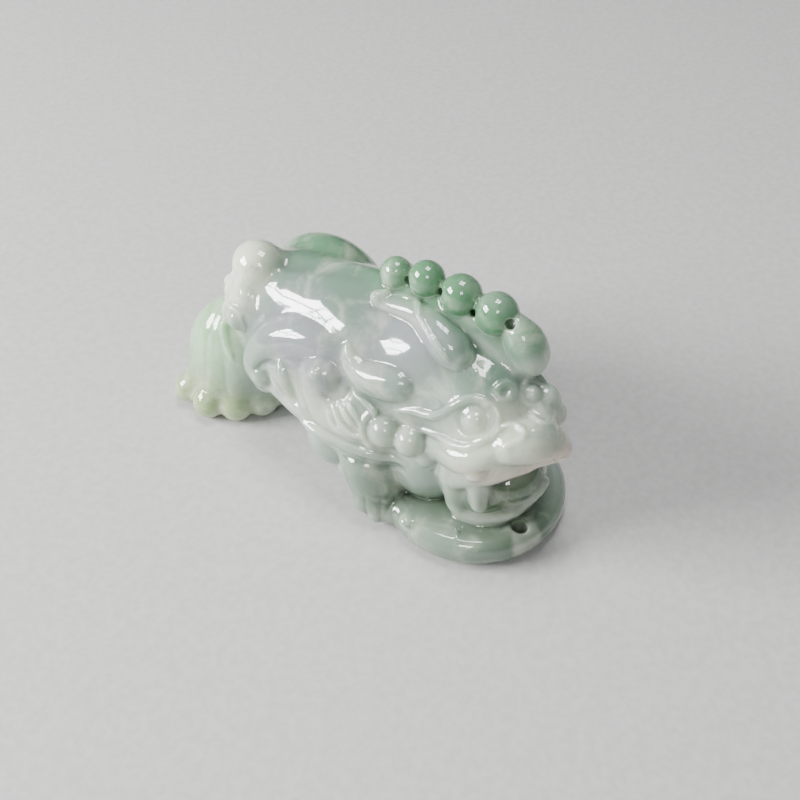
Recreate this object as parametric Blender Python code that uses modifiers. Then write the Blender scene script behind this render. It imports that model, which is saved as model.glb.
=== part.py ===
"""Jade pixiu hand piece: a crouching mythical beast with its chin on a round coin.

The whole carving is one stone, so it is one solid. Its masses are gathered in one mesh, fused by a
voxel remesh, and then cut by the tools a carver uses last: the flat underside, the drilled cord hole
and the small drill holes under the crest.

Frame: metres, +Z up, the beast looks towards -Y and its right flank is on the -X side. The origin is
the middle of the carving's footprint, on the surface it stands on.
"""

import math

import bmesh
import bpy
from mathutils import Matrix, Vector

MM = 0.001
NAME = "pixiu_carving"

# Trunk, in millimetres.
TRUNK_LENGTH = 34.0
TRUNK_WIDTH = 18.6
TRUNK_CORE_Z = 14.0
BACK_Z = 26.8
SPINE_X = 3.0
SHOULDER_LENGTH = 20.0
SHOULDER_WIDTH = 17.2
SHOULDER_SETBACK = 6.0
RUMP_LENGTH = 22.0
RUMP_SETBACK = 8.0

# Haunches and legs.
HAUNCH_LENGTH = 15.6
HAUNCH_WIDTH = 11.0
HAUNCH_HEIGHT = 18.8
HAUNCH_Z = 16.4
NEAR_HAUNCH_AHEAD = 3.2
FAR_HAUNCH_AHEAD = 0.2
ELBOW_LENGTH = 14.0
ELBOW_Z = 11.5
PAW_RADIUS = 3.2
PAW_LENGTH = 9.0
PAW_SINK = 0.8
FORELEG_RADIUS = 3.3

# Coin under the chin, with its drilled cord hole.
COIN_RADIUS = 11.7
COIN_THICKNESS = 4.0
COIN_EDGE = 1.5
COIN_X = 1.6
COIN_AHEAD = 0.8
CORD_HOLE_RADIUS = 0.9
CORD_HOLE_INSET = 2.4
CORD_HOLE_BEARING = -22.0

# Head, turned to the beast's right. Head places are (towards its left, back, up) from the eye line.
HEAD_TURN = -19.0
HEAD_REACH = 5.6
HEAD_X = -0.3
EYE_Z = 21.5
EYE_SPACING = 10.0
EYE_RADIUS = 2.2
CRANIUM_WIDTH = 14.4
CRANIUM_LENGTH = 17.0
CRANIUM_HEIGHT = 16.0
MUZZLE_WIDTH = 11.6
MUZZLE_LENGTH = 8.4
NOSE_RADIUS = 2.3
LIP_RADIUS = 1.7
JAW_DROP = 13.6

# Crest of beads along the nape, counted from the back.
BEAD_RADII = (1.95, 2.2, 2.5, 2.55)
BEAD_OVERLAP = 0.1
CREST_START = 13.0
CREST_RISE = 1.2
RIDGE_RADIUS = 1.9
RIDGE_STEP = 0.9
CREST_HOLE_RADIUS = 0.35

# Horns, ears, whisker curls and tail.
HORN_RADIUS = 1.6
HORN_LENGTH = 11.4
EAR_RADIUS = 2.1
EAR_LENGTH = 9.0
CURL_RADIUS = 1.9
TAIL_LENGTH = 16.6
TAIL_WIDTH = 11.6
TAIL_HEIGHT = 20.0
TAIL_SWING = -60.0
TAIL_ROOT_RADIUS = 3.0
TAIL_CURL_RADIUS = 2.0
TAIL_CURLS = 5

# Mesh fineness.
VOXEL = 0.4
SMOOTH_STEPS = 6
TARGET_TRIANGLES = 7600
CUTTER_MARGIN = 2.0

CHEST_Y = -TRUNK_LENGTH / 2
TAIL_Y = TRUNK_LENGTH / 2


def clear_scene():
    for item in list(bpy.data.objects):
        bpy.data.objects.remove(item, do_unlink=True)


def collection(name):
    group = bpy.data.collections.new(name)
    bpy.context.scene.collection.children.link(group)
    return group


def jade_material():
    material = bpy.data.materials.new("jadeite")
    material.use_nodes = True
    shader = material.node_tree.nodes["Principled BSDF"]
    shader.inputs["Base Color"].default_value = (0.62, 0.72, 0.66, 1.0)
    shader.inputs["Roughness"].default_value = 0.12
    shader.inputs["Metallic"].default_value = 0.0
    return material


class Carving:
    """The stone's masses, gathered in one mesh in millimetres."""

    def __init__(self):
        self.mesh = bmesh.new()

    def lump(self, centre, size, turn=0.0):
        """An ellipsoid of the given full size, turned about the upright axis in degrees."""
        place = Matrix.Translation(Vector(centre)) @ Matrix.Rotation(math.radians(turn), 4, "Z")
        place = place @ Matrix.Diagonal((*(side / 2 for side in size), 1.0))
        bmesh.ops.create_uvsphere(self.mesh, u_segments=32, v_segments=20, radius=1.0, matrix=place)

    def ball(self, centre, radius):
        self.lump(centre, (2 * radius,) * 3)

    def strand(self, points, radii):
        """A round strand with rounded ends that follows a smooth curve and changes thickness."""
        curve = bpy.data.curves.new("strand", "CURVE")
        curve.dimensions = "3D"
        curve.bevel_depth = 1.0
        curve.bevel_resolution = 4
        curve.resolution_u = 8
        curve.use_fill_caps = True
        spline = curve.splines.new("BEZIER")
        spline.bezier_points.add(len(points) - 1)
        for knot, point, radius in zip(spline.bezier_points, points, radii):
            knot.co = point
            knot.radius = radius
            knot.handle_left_type = "AUTO"
            knot.handle_right_type = "AUTO"
        holder = bpy.data.objects.new("strand", curve)
        tube = bpy.data.meshes.new_from_object(holder)
        skin = bmesh.new()
        skin.from_mesh(tube)
        bmesh.ops.remove_doubles(skin, verts=skin.verts, dist=1e-5)
        skin.to_mesh(tube)
        skin.free()
        self.mesh.from_mesh(tube)
        bpy.data.objects.remove(holder)
        bpy.data.meshes.remove(tube)
        bpy.data.curves.remove(curve)
        self.ball(points[0], radii[0])
        self.ball(points[-1], radii[-1])

    def disc(self, centre, radius, thickness, edge):
        """A round plate whose rim is rounded by the given edge radius."""
        plate = bmesh.new()
        bmesh.ops.create_cone(
            plate, cap_ends=True, segments=72, radius1=radius, radius2=radius, depth=thickness
        )
        rim = [line for line in plate.edges if abs(line.verts[0].co.z - line.verts[1].co.z) < 1e-6]
        bmesh.ops.bevel(plate, geom=rim, offset=edge, segments=5, profile=0.5, affect="EDGES")
        plate.transform(Matrix.Translation(Vector(centre)))
        shape = bpy.data.meshes.new("disc")
        plate.to_mesh(shape)
        plate.free()
        self.mesh.from_mesh(shape)
        bpy.data.meshes.remove(shape)


def head_matrix():
    place = Vector((HEAD_X, CHEST_Y - HEAD_REACH, EYE_Z))
    return Matrix.Translation(place) @ Matrix.Rotation(math.radians(HEAD_TURN), 4, "Z")


def back_height(y):
    """Height of the trunk's top along the spine."""
    share = min(abs(y) / (TRUNK_LENGTH / 2), 1.0)
    return TRUNK_CORE_Z + (BACK_Z - TRUNK_CORE_Z) * math.sqrt(1.0 - share**2 * 0.5)


def crest_beads():
    """Centre and radius of each bead, from the back to the crown."""
    beads = []
    y = CHEST_Y + CREST_START
    for index, radius in enumerate(BEAD_RADII):
        if index:
            y -= BEAD_RADII[index - 1] + radius - BEAD_OVERLAP
        height = back_height(y) + RIDGE_STEP + CREST_RISE * index + radius * 0.6
        beads.append((Vector((SPINE_X + 1.2, y, height)), radius))
    return beads


def coin_centre():
    return Vector((COIN_X, CHEST_Y - COIN_AHEAD, COIN_THICKNESS / 2))


def add_trunk(stone):
    height = 2 * (BACK_Z - TRUNK_CORE_Z)
    stone.lump((SPINE_X, 0, TRUNK_CORE_Z), (TRUNK_WIDTH, TRUNK_LENGTH, height))
    stone.lump(
        (SPINE_X + 0.4, CHEST_Y + SHOULDER_SETBACK, TRUNK_CORE_Z + 2.5),
        (SHOULDER_WIDTH, SHOULDER_LENGTH, height - 3.6),
    )
    stone.lump(
        (SPINE_X + 0.9, TAIL_Y - RUMP_SETBACK, TRUNK_CORE_Z + 0.5),
        (SHOULDER_WIDTH, RUMP_LENGTH, height - 3.6),
    )


def add_legs(stone):
    haunch = (HAUNCH_WIDTH, HAUNCH_LENGTH, HAUNCH_HEIGHT)
    hip_y = TAIL_Y - RUMP_SETBACK
    side = TRUNK_WIDTH / 2
    stone.lump((SPINE_X - side * 0.6, hip_y - NEAR_HAUNCH_AHEAD, HAUNCH_Z), haunch)
    stone.lump((SPINE_X + side * 0.65, hip_y - FAR_HAUNCH_AHEAD, HAUNCH_Z), haunch)
    stone.lump(
        (SPINE_X - side * 0.8, CHEST_Y + 15.5, ELBOW_Z), (9.6, ELBOW_LENGTH, 10.0), turn=15.0
    )
    paw = (2 * PAW_RADIUS, PAW_LENGTH, 2 * PAW_RADIUS)
    stone.lump((SPINE_X - side * 0.64, hip_y - 8.8, PAW_RADIUS - PAW_SINK), paw)
    stone.lump((SPINE_X + side * 0.8, hip_y - 6.0, PAW_RADIUS - PAW_SINK), paw)
    for reach, foot in ((-1.0, -10.4), (0.7, 7.8)):
        shoulder = Vector((SPINE_X + side * reach * 0.75, CHEST_Y + 8.0, TRUNK_CORE_Z))
        ankle = Vector((SPINE_X + foot, CHEST_Y + 7.8, PAW_RADIUS - PAW_SINK))
        middle = (shoulder + ankle) / 2
        middle.x = SPINE_X + foot * 0.95
        stone.strand(
            (shoulder, middle, ankle), (FORELEG_RADIUS + 1.4, FORELEG_RADIUS, FORELEG_RADIUS - 0.2)
        )


def add_head(stone):
    head = head_matrix()
    eye = EYE_SPACING / 2
    lip_y = 2.0 - MUZZLE_LENGTH / 2

    def lump(place, size):
        stone.lump(head @ Vector(place), size, turn=HEAD_TURN)

    def strand(places, radii):
        stone.strand([head @ Vector(place) for place in places], radii)

    lump((0, 6.0, -4.5), (CRANIUM_WIDTH, CRANIUM_LENGTH, CRANIUM_HEIGHT))
    lump((0, 1.0, -5.0), (MUZZLE_WIDTH + 1.6, 12.0, 12.0))
    lump((0.6, -2.0, -4.0), (MUZZLE_WIDTH, MUZZLE_LENGTH, 6.8))
    lump((1.0, lip_y - 2.6, -2.9), (2.2 * NOSE_RADIUS, 1.9 * NOSE_RADIUS, 1.8 * NOSE_RADIUS))
    strand(
        ((-6.6, 2.6, -9.0), (-3.0, -2.6, -6.8), (1.0, lip_y - 2.0, -6.0), (5.0, -2.8, -6.2), (6.6, 0, -6.2)),
        (LIP_RADIUS - 0.5, LIP_RADIUS, LIP_RADIUS + 0.1, LIP_RADIUS, LIP_RADIUS - 0.4),
    )
    strand(
        ((-5.6, 3.2, -JAW_DROP), (-3.6, -1.0, -JAW_DROP - 0.9), (1.0, lip_y - 1.2, -JAW_DROP - 0.6)),
        (LIP_RADIUS - 0.3, LIP_RADIUS, LIP_RADIUS + 0.1),
    )
    strand(
        ((1.0, lip_y - 1.2, -JAW_DROP - 0.6), (4.6, -1.5, -JAW_DROP + 0.4), (6.0, 2.0, -JAW_DROP + 2.0)),
        (LIP_RADIUS + 0.1, LIP_RADIUS, LIP_RADIUS - 0.3),
    )
    lump((0.2, 3.2, -JAW_DROP), (MUZZLE_WIDTH, 12.0, 7.2))
    for side in (-1, 1):
        lump((side * eye, 0.1, 0.1), (2 * EYE_RADIUS,) * 3)
        strand(
            (
                (side * (eye + 2.2), 8.0, -1.5),
                (side * (eye + 1.4), 3.0, 1.2),
                (side * eye, -0.2, 2.4),
                (side * (eye - 2.2), -0.8, 1.8),
            ),
            (0.8, 1.2, 1.4, 1.0),
        )


def add_crest(stone):
    beads = crest_beads()
    for centre, radius in beads:
        stone.lump(centre, (1.8 * radius, 2 * radius, 2 * radius))
    ridge = [Vector((centre.x, centre.y, centre.z - radius - 0.9)) for centre, radius in beads]
    ridge.insert(0, Vector((SPINE_X, CHEST_Y + CREST_START + 6.0, BACK_Z - RIDGE_RADIUS)))
    stone.strand(ridge, (RIDGE_RADIUS,) * len(ridge))
    nape, radius = beads[-1]
    crown = head_matrix() @ Vector((3.6, 0.6, 2.0))
    middle = Vector((nape.x - 0.4, nape.y - 4.4, (nape.z + crown.z) / 2))
    top = Vector((nape.x - 0.2, nape.y - radius, nape.z - 1.2))
    stone.strand((top, middle, crown), (1.5, 2.3, 1.4))


def add_horns_and_ears(stone):
    for side in (-1, 1):
        x = SPINE_X - 4.0 if side < 0 else SPINE_X + 4.6
        drop = 0.0 if side < 0 else 2.2
        tip_y = CHEST_Y + 11.6
        stone.strand(
            (
                (x, tip_y, BACK_Z + 1.9 - drop),
                (x, tip_y - HORN_LENGTH * 0.25, BACK_Z + 2.0 - drop),
                (x, tip_y - HORN_LENGTH * 0.55, BACK_Z + 1.6 - drop),
                (x, tip_y - HORN_LENGTH * 0.8, BACK_Z + 0.4 - drop),
                (x, tip_y - HORN_LENGTH, BACK_Z - 1.4 - drop),
            ),
            (HORN_RADIUS * 0.55, HORN_RADIUS * 0.65, HORN_RADIUS, HORN_RADIUS * 1.05, HORN_RADIUS * 0.5),
        )
    for x, y, z in ((SPINE_X - 10.0, CHEST_Y + 12.5, 24.6), (SPINE_X + 9.4, CHEST_Y + 11.0, 22.6)):
        stone.strand(
            (
                (x, y, z - 0.2),
                (x, y - EAR_LENGTH * 0.35, z + 0.2),
                (x, y - EAR_LENGTH * 0.7, z - 0.4),
                (x, y - EAR_LENGTH, z - 1.8),
            ),
            (EAR_RADIUS * 0.3, EAR_RADIUS * 0.65, EAR_RADIUS, EAR_RADIUS * 0.85),
        )
    for step in range(2):
        stone.ball((SPINE_X - 11.3 + 0.1 * step, CHEST_Y + 6.4 - 3.0 * step, 16.8), CURL_RADIUS)


def add_tail(stone):
    centre = Vector((SPINE_X - 1.7, TAIL_Y + 1.4, TAIL_HEIGHT * 0.45))
    stone.lump(centre, (TAIL_LENGTH, TAIL_WIDTH, TAIL_HEIGHT), turn=TAIL_SWING)
    stone.ball((SPINE_X - 1.5, TAIL_Y - 1.8, 23.4), TAIL_ROOT_RADIUS)
    half_length = TAIL_LENGTH / 2 - 0.4
    half_width = TAIL_WIDTH / 2 + 0.3
    turn = Matrix.Rotation(math.radians(TAIL_SWING), 4, "Z")
    for index in range(TAIL_CURLS):
        angle = math.radians(192.0 + index * 156.0 / (TAIL_CURLS - 1))
        rim = Vector((half_length * math.cos(angle), half_width * math.sin(angle), 0))
        place = centre + turn @ rim
        stone.ball((place.x, place.y, TAIL_CURL_RADIUS + 0.4), TAIL_CURL_RADIUS)


def cylinder_cutter(name, centre, axis, radius, length, group, frame):
    """A round drill, in its own object, that a Boolean modifier takes away."""
    drill = bmesh.new()
    turn = Vector(axis).to_track_quat("Z", "Y").to_matrix().to_4x4()
    bmesh.ops.create_cone(
        drill,
        cap_ends=True,
        segments=24,
        radius1=radius * MM,
        radius2=radius * MM,
        depth=length * MM,
        matrix=Matrix.Translation(Vector(centre) * MM) @ turn,
    )
    return add_cutter(name, drill, group, frame)


def add_cutter(name, shape, group, frame):
    mesh = bpy.data.meshes.new(name)
    shape.to_mesh(mesh)
    shape.free()
    cutter = bpy.data.objects.new(name, mesh)
    cutter.parent = frame
    cutter.hide_render = True
    cutter.display_type = "WIRE"
    group.objects.link(cutter)
    return cutter


def cord_hole_cutter(group, frame):
    """The cord hole goes straight down through the coin, near its front edge."""
    bearing = math.radians(CORD_HOLE_BEARING)
    reach = COIN_RADIUS - CORD_HOLE_INSET
    centre = coin_centre() + Vector((math.sin(bearing), -math.cos(bearing), 0)) * reach
    length = COIN_THICKNESS + CUTTER_MARGIN
    return cylinder_cutter("cord_hole_drill", centre, (0, 0, 1), CORD_HOLE_RADIUS, length, group, frame)


def crest_hole_cutters(group, frame):
    """A fine hole goes across the crest under each joint between two beads."""
    beads = crest_beads()
    drills = []
    for index in range(len(beads) - 1):
        (rear, rear_radius), (front, front_radius) = beads[index], beads[index + 1]
        centre = (rear + front) / 2
        centre.z -= 0.62 * (rear_radius + front_radius) / 2
        length = 2 * rear_radius + CUTTER_MARGIN
        name = f"crest_drill_{index + 1}"
        drill = cylinder_cutter(name, centre, (1, 0, 0), CREST_HOLE_RADIUS, length, group, frame)
        drills.append(drill)
    return drills


def underside_cutter(group, frame, reach):
    """A block under the ground plane that leaves the paws, tail and coin flat underneath."""
    block = bmesh.new()
    bmesh.ops.create_cube(block, size=2 * reach * MM)
    block.transform(Matrix.Translation((0, 0, -reach * MM)))
    return add_cutter("underside_block", block, group, frame)


def footprint_centre(mesh):
    across = [vertex.co.x for vertex in mesh.verts]
    along = [vertex.co.y for vertex in mesh.verts]
    return Vector(((min(across) + max(across)) / 2, (min(along) + max(along)) / 2, 0))


def finish_stone(stone, group, helpers):
    """Fuse the masses, smooth their joints, thin the mesh and make the last cuts."""
    stone.mesh.transform(Matrix.Scale(MM, 4))
    centre = footprint_centre(stone.mesh)
    frame = bpy.data.objects.new("carving_frame", None)
    frame.location = -centre
    helpers.objects.link(frame)

    mesh = bpy.data.meshes.new(NAME)
    stone.mesh.to_mesh(mesh)
    stone.mesh.free()
    mesh.materials.append(jade_material())
    carving = bpy.data.objects.new(NAME, mesh)
    carving.parent = frame
    group.objects.link(carving)

    fuse = carving.modifiers.new("fuse", "REMESH")
    fuse.mode = "VOXEL"
    fuse.voxel_size = VOXEL * MM
    soften = carving.modifiers.new("soften", "SMOOTH")
    soften.factor = 0.5
    soften.iterations = SMOOTH_STEPS
    bpy.context.view_layer.update()
    dense = carving.evaluated_get(bpy.context.evaluated_depsgraph_get()).to_mesh()
    dense.calc_loop_triangles()
    count = len(dense.loop_triangles)
    thin = carving.modifiers.new("thin", "DECIMATE")
    thin.ratio = min(1.0, TARGET_TRIANGLES / count)

    reach = TRUNK_LENGTH + TAIL_LENGTH + COIN_RADIUS
    cutters = [underside_cutter(helpers, frame, reach), cord_hole_cutter(helpers, frame)]
    cutters += crest_hole_cutters(helpers, frame)
    for cutter in cutters:
        cut = carving.modifiers.new(cutter.name, "BOOLEAN")
        cut.operation = "DIFFERENCE"
        cut.solver = "EXACT"
        cut.object = cutter
    return carving


def main():
    clear_scene()
    group = collection("jade_pixiu")
    helpers = collection("cutters")
    stone = Carving()
    stone.disc(coin_centre(), COIN_RADIUS, COIN_THICKNESS, COIN_EDGE)
    add_trunk(stone)
    add_legs(stone)
    add_head(stone)
    add_crest(stone)
    add_horns_and_ears(stone)
    add_tail(stone)
    finish_stone(stone, group, helpers)


main()
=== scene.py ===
"""A carved jadeite pixiu on a pale studio floor.

The stone is sculpted as a signed distance field on a grid, in millimetres, in the carving's own
frame: X to the beast's left, Y towards its tail, Z up, and the ground at zero. Masses are joined
into it, and lines are raised or carved along its surface. The zero level then becomes one mesh,
which replaces the plain CAD solid and takes a procedural jadeite material.
"""

import math

import bpy
import numpy as np
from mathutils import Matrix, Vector


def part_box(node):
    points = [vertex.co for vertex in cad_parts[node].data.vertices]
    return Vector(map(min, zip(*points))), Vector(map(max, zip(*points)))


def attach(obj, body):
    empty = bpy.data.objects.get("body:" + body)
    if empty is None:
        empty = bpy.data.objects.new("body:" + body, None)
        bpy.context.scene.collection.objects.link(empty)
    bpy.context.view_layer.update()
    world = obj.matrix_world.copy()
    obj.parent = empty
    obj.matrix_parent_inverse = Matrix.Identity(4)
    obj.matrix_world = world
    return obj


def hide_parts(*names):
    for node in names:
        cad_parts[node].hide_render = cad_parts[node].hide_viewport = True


MM = 0.001

# The grid that the stone is sculpted on, in millimetres, and the size of the final mesh.
CELL = 0.17
GRID_LOW = (-13, -33, -1.2)
GRID_HIGH = (19, 30, 34.5)
STONE_TRIANGLES = 190_000
SURFACE_STEPS = 3

# The middle of the CAD solid's footprint, in the carving's frame.
CAD_MIDDLE = np.array((2.03935, -1.45235))

# Field value where there is no stone yet, and the longest step of a point towards the surface.
NO_STONE = 9.0
LONGEST_STEP = 0.6
THINNEST_LINE = 0.02


def unit(vector):
    vector = np.asarray(vector, float)
    return vector / max(np.linalg.norm(vector), 1e-12)


def turned(degrees):
    """Axes of a frame turned about the upright axis: its columns are right, back and up."""
    angle = math.radians(degrees)
    c, s = math.cos(angle), math.sin(angle)
    return np.array(((c, -s, 0.0), (s, c, 0.0), (0.0, 0.0, 1.0)))


def pitched(axes, degrees):
    """Axes pitched about their own right axis."""
    angle = math.radians(degrees)
    c, s = math.cos(angle), math.sin(angle)
    return axes @ np.array(((1, 0, 0), (0, c, -s), (0, s, c)))


def smooth_path(points, values, step=0.3):
    """A Catmull-Rom curve through the points, with a value such as a radius carried along it."""
    points = np.asarray(points, float)
    values = np.ones(len(points)) * np.asarray(values, float)
    knots = np.column_stack((points, values))
    knots = np.vstack((2 * knots[0] - knots[1], knots, 2 * knots[-1] - knots[-2]))
    rows = []
    for a, b, c, d in zip(knots, knots[1:], knots[2:], knots[3:]):
        count = max(2, int(np.linalg.norm((c - b)[:3]) / step))
        t = (np.arange(count) / count)[:, None]
        square = (2 * a - 5 * b + 4 * c - d) * t**2
        cube = (3 * b - a - 3 * c + d) * t**3
        rows.append(0.5 * (2 * b + (c - a) * t + square + cube))
    rows.append(knots[-2][None])
    rows = np.vstack(rows)
    return rows[:, :3], np.maximum(rows[:, 3], THINNEST_LINE)


def loop(spot, out, radius, steps, turns=1.0, start=0.0, inner=1.0, flat=1.0):
    """Places round a spot on the surface: a circle, or a spiral that shrinks to its inner share."""
    across = unit(np.cross(out, (0, 0, 1)))
    rise = np.cross(across, out)
    turn = np.linspace(start, start + 2 * math.pi * turns, steps)[:, None]
    size = radius * np.linspace(1, inner, steps)[:, None]
    return spot + size * (np.cos(turn) * across + flat * np.sin(turn) * rise)


class Stone:
    """A signed distance field on a grid, in millimetres: negative inside the stone."""

    def __init__(self, low, high, cell):
        self.low = np.array(low, float)
        self.cell = cell
        counts = np.ceil((np.array(high) - self.low) / cell).astype(int) + 1
        self.axes = [self.low[i] + cell * np.arange(counts[i]) for i in range(3)]
        self.field = np.full(counts, NO_STONE, np.float32)

    def window(self, low, high):
        """The part of the grid between two corners, and the coordinates along its three sides."""
        counts = self.field.shape
        first = np.floor((np.asarray(low) - self.low) / self.cell).astype(int)
        last = np.ceil((np.asarray(high) - self.low) / self.cell).astype(int) + 1
        first, last = np.clip(first, 0, counts), np.clip(last, 0, counts)
        part = tuple(slice(a, b) for a, b in zip(first, last))
        shapes = ((-1, 1, 1), (1, -1, 1), (1, 1, -1))
        sides = [self.axes[i][part[i]].reshape(shapes[i]).astype(np.float32) for i in range(3)]
        return part, sides

    def merge(self, part, distance, blend, cut):
        """Join a form into the stone, or cut it away, with a smooth seam as wide as the blend."""
        old = self.field[part]
        if cut:
            overlap = np.maximum(blend - np.abs(old + distance), 0) / blend
            self.field[part] = np.maximum(old, -distance) + overlap**3 * (blend / 6)
        else:
            overlap = np.maximum(blend - np.abs(old - distance), 0) / blend
            self.field[part] = np.minimum(old, distance) - overlap**3 * (blend / 6)

    def lump(self, centre, radii, axes=None, blend=1.0, cut=False):
        """An ellipsoid."""
        centre = np.asarray(centre, float)
        radii = np.ones(3) * radii
        axes = np.eye(3) if axes is None else axes
        reach = np.abs(axes) @ radii + blend + self.cell
        part, (x, y, z) = self.window(centre - reach, centre + reach)
        x, y, z = x - centre[0], y - centre[1], z - centre[2]
        near = far = 0.0
        for i in range(3):
            local = x * axes[0, i] + y * axes[1, i] + z * axes[2, i]
            near = near + (local / radii[i]) ** 2
            far = far + (local / radii[i] ** 2) ** 2
        near, far = np.sqrt(near), np.sqrt(far)
        self.merge(part, near * (near - 1) / np.maximum(far, 1e-6), blend, cut)

    def strand(self, points, radii, blend=0.5):
        """A round strand along a smooth curve, whose radius changes on the way."""
        path, thick = smooth_path(points, radii)
        self.rod(path, thick, blend)

    def rod(self, path, thick, blend, cut=False):
        """A round strand straight from point to point."""
        path, thick = np.asarray(path, float), np.asarray(thick, float)
        pad = thick.max() + blend + self.cell
        whole, _ = self.window(path.min(0) - pad, path.max(0) + pad)
        distance = np.full(self.field[whole].shape, NO_STONE, np.float32)
        offset = [side.start for side in whole]
        for a, b, ra, rb in zip(path, path[1:], thick, thick[1:]):
            side = b - a
            length = float(side @ side)
            if length < 1e-9:
                continue
            reach = max(ra, rb) + blend + self.cell
            part, (x, y, z) = self.window(np.minimum(a, b) - reach, np.maximum(a, b) + reach)
            inner = tuple(slice(s.start - o, s.stop - o) for s, o in zip(part, offset))
            x, y, z = x - a[0], y - a[1], z - a[2]
            t = np.clip((x * side[0] + y * side[1] + z * side[2]) / length, 0, 1)
            gap = np.sqrt((x - t * side[0]) ** 2 + (y - t * side[1]) ** 2 + (z - t * side[2]) ** 2)
            distance[inner] = np.minimum(distance[inner], gap - (ra + t * (rb - ra)))
        self.merge(whole, distance, blend, cut)

    def disc(self, centre, radius, half, edge, blend):
        """A round plate with a rounded rim."""
        centre = np.asarray(centre, float)
        reach = np.array((radius, radius, half)) + blend + self.cell
        part, (x, y, z) = self.window(centre - reach, centre + reach)
        ring = np.hypot(x - centre[0], y - centre[1]) - (radius - edge) + 0 * z
        flat = np.abs(z - centre[2]) - (half - edge) + 0 * ring
        outside = np.hypot(np.maximum(ring, 0), np.maximum(flat, 0))
        inside = np.minimum(np.maximum(ring, flat), 0)
        self.merge(part, outside + inside - edge, blend, cut=False)

    def soften(self):
        """Polish the stone: average each grid point with its neighbours."""
        for axis in range(3):
            field = np.moveaxis(self.field, axis, 0)
            field[1:-1] = (field[:-2] + 2 * field[1:-1] + field[2:]) / 4

    def cut_ground(self):
        """Remove everything below the ground plane."""
        self.field = np.maximum(self.field, -self.axes[2].astype(np.float32)[None, None, :])

    def sample(self, points):
        """The field and its direction at each point, by trilinear interpolation."""
        spot = (np.asarray(points, float) - self.low) / self.cell
        spot = np.clip(spot, 0, np.array(self.field.shape) - 1.001)
        base = spot.astype(int)
        share = spot - base
        value = np.zeros(len(spot))
        slope = np.zeros((len(spot), 3))
        for corner in np.ndindex(2, 2, 2):
            weight = np.where(corner, share, 1 - share)
            sign = np.where(corner, 1.0, -1.0)
            level = self.field[tuple((base + corner).T)]
            value += weight.prod(1) * level
            for i in range(3):
                others = [j for j in range(3) if j != i]
                slope[:, i] += sign[i] * weight[:, others].prod(1) * level
        return value, slope / np.maximum(np.linalg.norm(slope, axis=1, keepdims=True), 1e-9)

    def settle(self, points, steps=12):
        """Move points onto the surface and return them with its outward directions."""
        points = np.array(points, float)
        for _ in range(steps):
            value, slope = self.sample(points)
            points -= slope * np.clip(value, -LONGEST_STEP, LONGEST_STEP)[:, None]
        return points, self.sample(points)[1]

    def touch(self, place):
        """The spot on the surface nearest a place, and the outward direction there."""
        spots, outs = self.settle([place])
        return spots[0], outs[0]

    def ridge(self, points, radii, height=0.5, blend=0.3):
        """A raised line along the surface: height is the share of each radius that stands proud."""
        path, thick = smooth_path(points, radii)
        path, out = self.settle(path)
        self.rod(path - out * (thick * (1 - 2 * height))[:, None], thick, blend)

    def groove(self, points, width, depth=0.25, blend=0.25):
        """A carved line along the surface, with a round bottom."""
        path, thick = smooth_path(points, np.asarray(width) / 2)
        path, out = self.settle(path)
        self.rod(path + out * (thick - depth)[:, None], thick, blend, cut=True)


def surface_net(stone):
    """Vertices and quads of the stone's surface: one vertex in each cell that the surface crosses."""
    field, cell = stone.field, stone.cell
    inside = field < 0
    core = tuple(n - 1 for n in field.shape)
    total = np.zeros(core, np.int8)
    corners = list(np.ndindex(2, 2, 2))
    for dx, dy, dz in corners:
        total += inside[dx:core[0] + dx, dy:core[1] + dy, dz:core[2] + dz]
    cells = np.argwhere((total > 0) & (total < len(corners)))
    number = np.full(core, -1, np.int32)
    number[tuple(cells.T)] = np.arange(len(cells))
    level = [field[tuple((cells + corner).T)] for corner in corners]
    place = np.zeros((len(cells), 3))
    hits = np.zeros(len(cells))
    for i, a in enumerate(corners):
        for j, b in enumerate(corners):
            is_edge = sum(abs(p - q) for p, q in zip(a, b)) == 1
            if j <= i or not is_edge:
                continue
            crosses = (level[i] < 0) != (level[j] < 0)
            span = np.where(crosses, level[i] - level[j], 1.0)
            t = np.where(crosses, level[i] / span, 0.0)[:, None]
            place += crosses[:, None] * (np.array(a) + t * (np.array(b) - np.array(a)))
            hits += crosses
    vertices = stone.low + cell * (cells + place / hits[:, None])
    quads = [edge_quads(inside, number, axis) for axis in range(3)]
    return vertices, np.vstack(quads)


def edge_quads(inside, number, axis):
    """A quad round each grid edge along one axis that the surface crosses, facing out of the stone."""
    near = [slice(1, -1)] * 3
    near[axis] = slice(0, -1)
    far = list(near)
    far[axis] = slice(1, None)
    a, b = inside[tuple(near)], inside[tuple(far)]
    u, v = [i for i in range(3) if i != axis]
    if axis == 1:
        u, v = v, u
    quads = []
    for mask, order in ((a & ~b, (0, 1, 2, 3)), (~a & b, (3, 2, 1, 0))):
        edge = np.argwhere(mask)
        edge += [0 if i == axis else 1 for i in range(3)]
        ring = []
        for du, dv in ((0, 0), (-1, 0), (-1, -1), (0, -1)):
            spot = edge.copy()
            spot[:, u] += du
            spot[:, v] += dv
            ring.append(number[tuple(spot.T)])
        quads.append(np.column_stack([ring[k] for k in order]))
    return np.vstack(quads)


# The beast's right flank is the near one. The far flank is its mirror image, a little further back.
NEAR, FAR = -1, 1
SIDES = (NEAR, FAR)
MIRROR_X = 2.35
HORN_MIRROR_X = 4.2
FAR_HAUNCH_BACK = 2.6
FAR_WING_BACK = 1.3
FAR_MANE_BACK = -1.0
FAR_EAR_BACK = -0.6

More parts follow.
